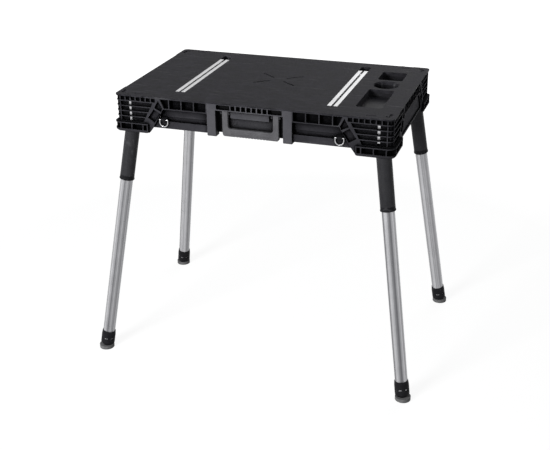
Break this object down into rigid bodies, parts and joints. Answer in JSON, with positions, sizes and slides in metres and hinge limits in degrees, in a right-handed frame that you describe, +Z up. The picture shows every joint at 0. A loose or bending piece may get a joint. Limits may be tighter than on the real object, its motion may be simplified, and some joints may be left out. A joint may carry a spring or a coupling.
{
  "type": "folding work table",
  "caption": "Portable folding work table with a ribbed plastic case, two slotted clamp rails, parts trays, a cup hole, a carrying handle and splayed telescopic legs",
  "frame": {"origin": "on the floor, under the middle of the table", "axes": "+X along the length towards the end with the trays, -Y towards the side with the carrying handle, +Z up"},
  "size_m": [1.029, 0.679, 0.85],
  "materials": {
    "case_plastic": "moulded polypropylene, fine grain",
    "fitting_plastic": "moulded, slightly smoother than the case",
    "handle_plastic": "moulded, dark grey",
    "rail_aluminium": "extruded, clear anodised",
    "leg_tube": "satin",
    "sleeve_black": "black powder coat",
    "shoe_rubber": "matt grey",
    "zinc_steel": "zinc plated",
    "ring_steel": "bright plated wire"
  },
  "bodies": {
    "case": {"top_plate": "case_plastic", "corner_front_right": "case_plastic", "corner_front_left": "case_plastic", "corner_back_right": "case_plastic", "corner_back_left": "case_plastic", "skirt_front_right": "case_plastic", "skirt_front_left": "case_plastic", "skirt_back_right": "case_plastic", "skirt_back_left": "case_plastic", "skirt_right_end": "case_plastic", "skirt_left_end": "case_plastic", "bay_front": "case_plastic", "bay_back": "case_plastic", "rail_left": "rail_aluminium", "rail_bed_left": "case_plastic", "rail_right": "rail_aluminium", "rail_bed_right": "case_plastic", "tray_front": "case_plastic", "tray_rear": "case_plastic", "cup_holder": "case_plastic", "top_webs": "case_plastic", "handle_pins": "zinc_steel", "ring_clip_right": "fitting_plastic", "ring_clip_left": "fitting_plastic", "bracket_left_front": "zinc_steel", "hinge_pins_left": "zinc_steel", "bracket_left_back": "zinc_steel", "bracket_right_front": "zinc_steel", "hinge_pins_right": "zinc_steel", "bracket_right_back": "zinc_steel"},
    "upper_leg_left_front": {"knuckle_left_front": "fitting_plastic", "sleeve_left_front": "sleeve_black", "collar_left_front": "fitting_plastic"},
    "lower_leg_left_front": {"tube_left_front": "leg_tube", "cap_left_front": "fitting_plastic", "shoe_left_front": "shoe_rubber"},
    "upper_leg_left_back": {"knuckle_left_back": "fitting_plastic", "sleeve_left_back": "sleeve_black", "collar_left_back": "fitting_plastic"},
    "lower_leg_left_back": {"tube_left_back": "leg_tube", "cap_left_back": "fitting_plastic", "shoe_left_back": "shoe_rubber"},
    "upper_leg_right_front": {"knuckle_right_front": "fitting_plastic", "sleeve_right_front": "sleeve_black", "collar_right_front": "fitting_plastic"},
    "lower_leg_right_front": {"tube_right_front": "leg_tube", "cap_right_front": "fitting_plastic", "shoe_right_front": "shoe_rubber"},
    "upper_leg_right_back": {"knuckle_right_back": "fitting_plastic", "sleeve_right_back": "sleeve_black", "collar_right_back": "fitting_plastic"},
    "lower_leg_right_back": {"tube_right_back": "leg_tube", "cap_right_back": "fitting_plastic", "shoe_right_back": "shoe_rubber"},
    "handle": {"handle": "handle_plastic"},
    "ring_left": {"ring_left": "ring_steel"},
    "ring_right": {"ring_right": "ring_steel"}
  },
  "joints": [
    {"name": "fold_left_front", "type": "hinge", "parent": "case", "child": "upper_leg_left_front", "pos_m": [-0.39185, -0.22481, 0.7535], "axis": [0.0763, -0.991, 0.1099], "range_deg": [0, 98.62]},
    {"name": "extend_left_front", "type": "slide", "parent": "upper_leg_left_front", "child": "lower_leg_left_front", "axis": [-0.1411, -0.1198, -0.9827], "range_m": [-0.085, 0]},
    {"name": "fold_left_back", "type": "hinge", "parent": "case", "child": "upper_leg_left_back", "pos_m": [-0.39185, 0.22481, 0.7535], "axis": [-0.0763, -0.991, -0.1099], "range_deg": [0, 98.62]},
    {"name": "extend_left_back", "type": "slide", "parent": "upper_leg_left_back", "child": "lower_leg_left_back", "axis": [-0.1411, 0.1198, -0.9827], "range_m": [-0.085, 0]},
    {"name": "fold_right_front", "type": "hinge", "parent": "case", "child": "upper_leg_right_front", "pos_m": [0.39842, -0.22136, 0.7885], "axis": [0.0729, 0.9912, -0.1104], "range_deg": [0, 98.6]},
    {"name": "extend_right_front", "type": "slide", "parent": "upper_leg_right_front", "child": "lower_leg_right_front", "axis": [0.1411, -0.1198, -0.9827], "range_m": [-0.085, 0]},
    {"name": "fold_right_back", "type": "hinge", "parent": "case", "child": "upper_leg_right_back", "pos_m": [0.39842, 0.22136, 0.7885], "axis": [-0.0729, 0.9912, 0.1104], "range_deg": [0, 98.6]},
    {"name": "extend_right_back", "type": "slide", "parent": "upper_leg_right_back", "child": "lower_leg_right_back", "axis": [0.1411, 0.1198, -0.9827], "range_m": [-0.085, 0]},
    {"name": "handle_swing", "type": "hinge", "parent": "case", "child": "handle", "pos_m": [0, -0.246, 0.821], "axis": [-1, 0, 0], "range_deg": [0, 90]},
    {"name": "ring_swing_left", "type": "hinge", "parent": "case", "child": "ring_left", "pos_m": [-0.266, -0.2603, 0.782], "axis": [-1, 0, 0], "range_deg": [0, 105]},
    {"name": "ring_swing_right", "type": "hinge", "parent": "case", "child": "ring_right", "pos_m": [0.266, -0.2603, 0.782], "axis": [-1, 0, 0], "range_deg": [0, 105]}
  ]
}
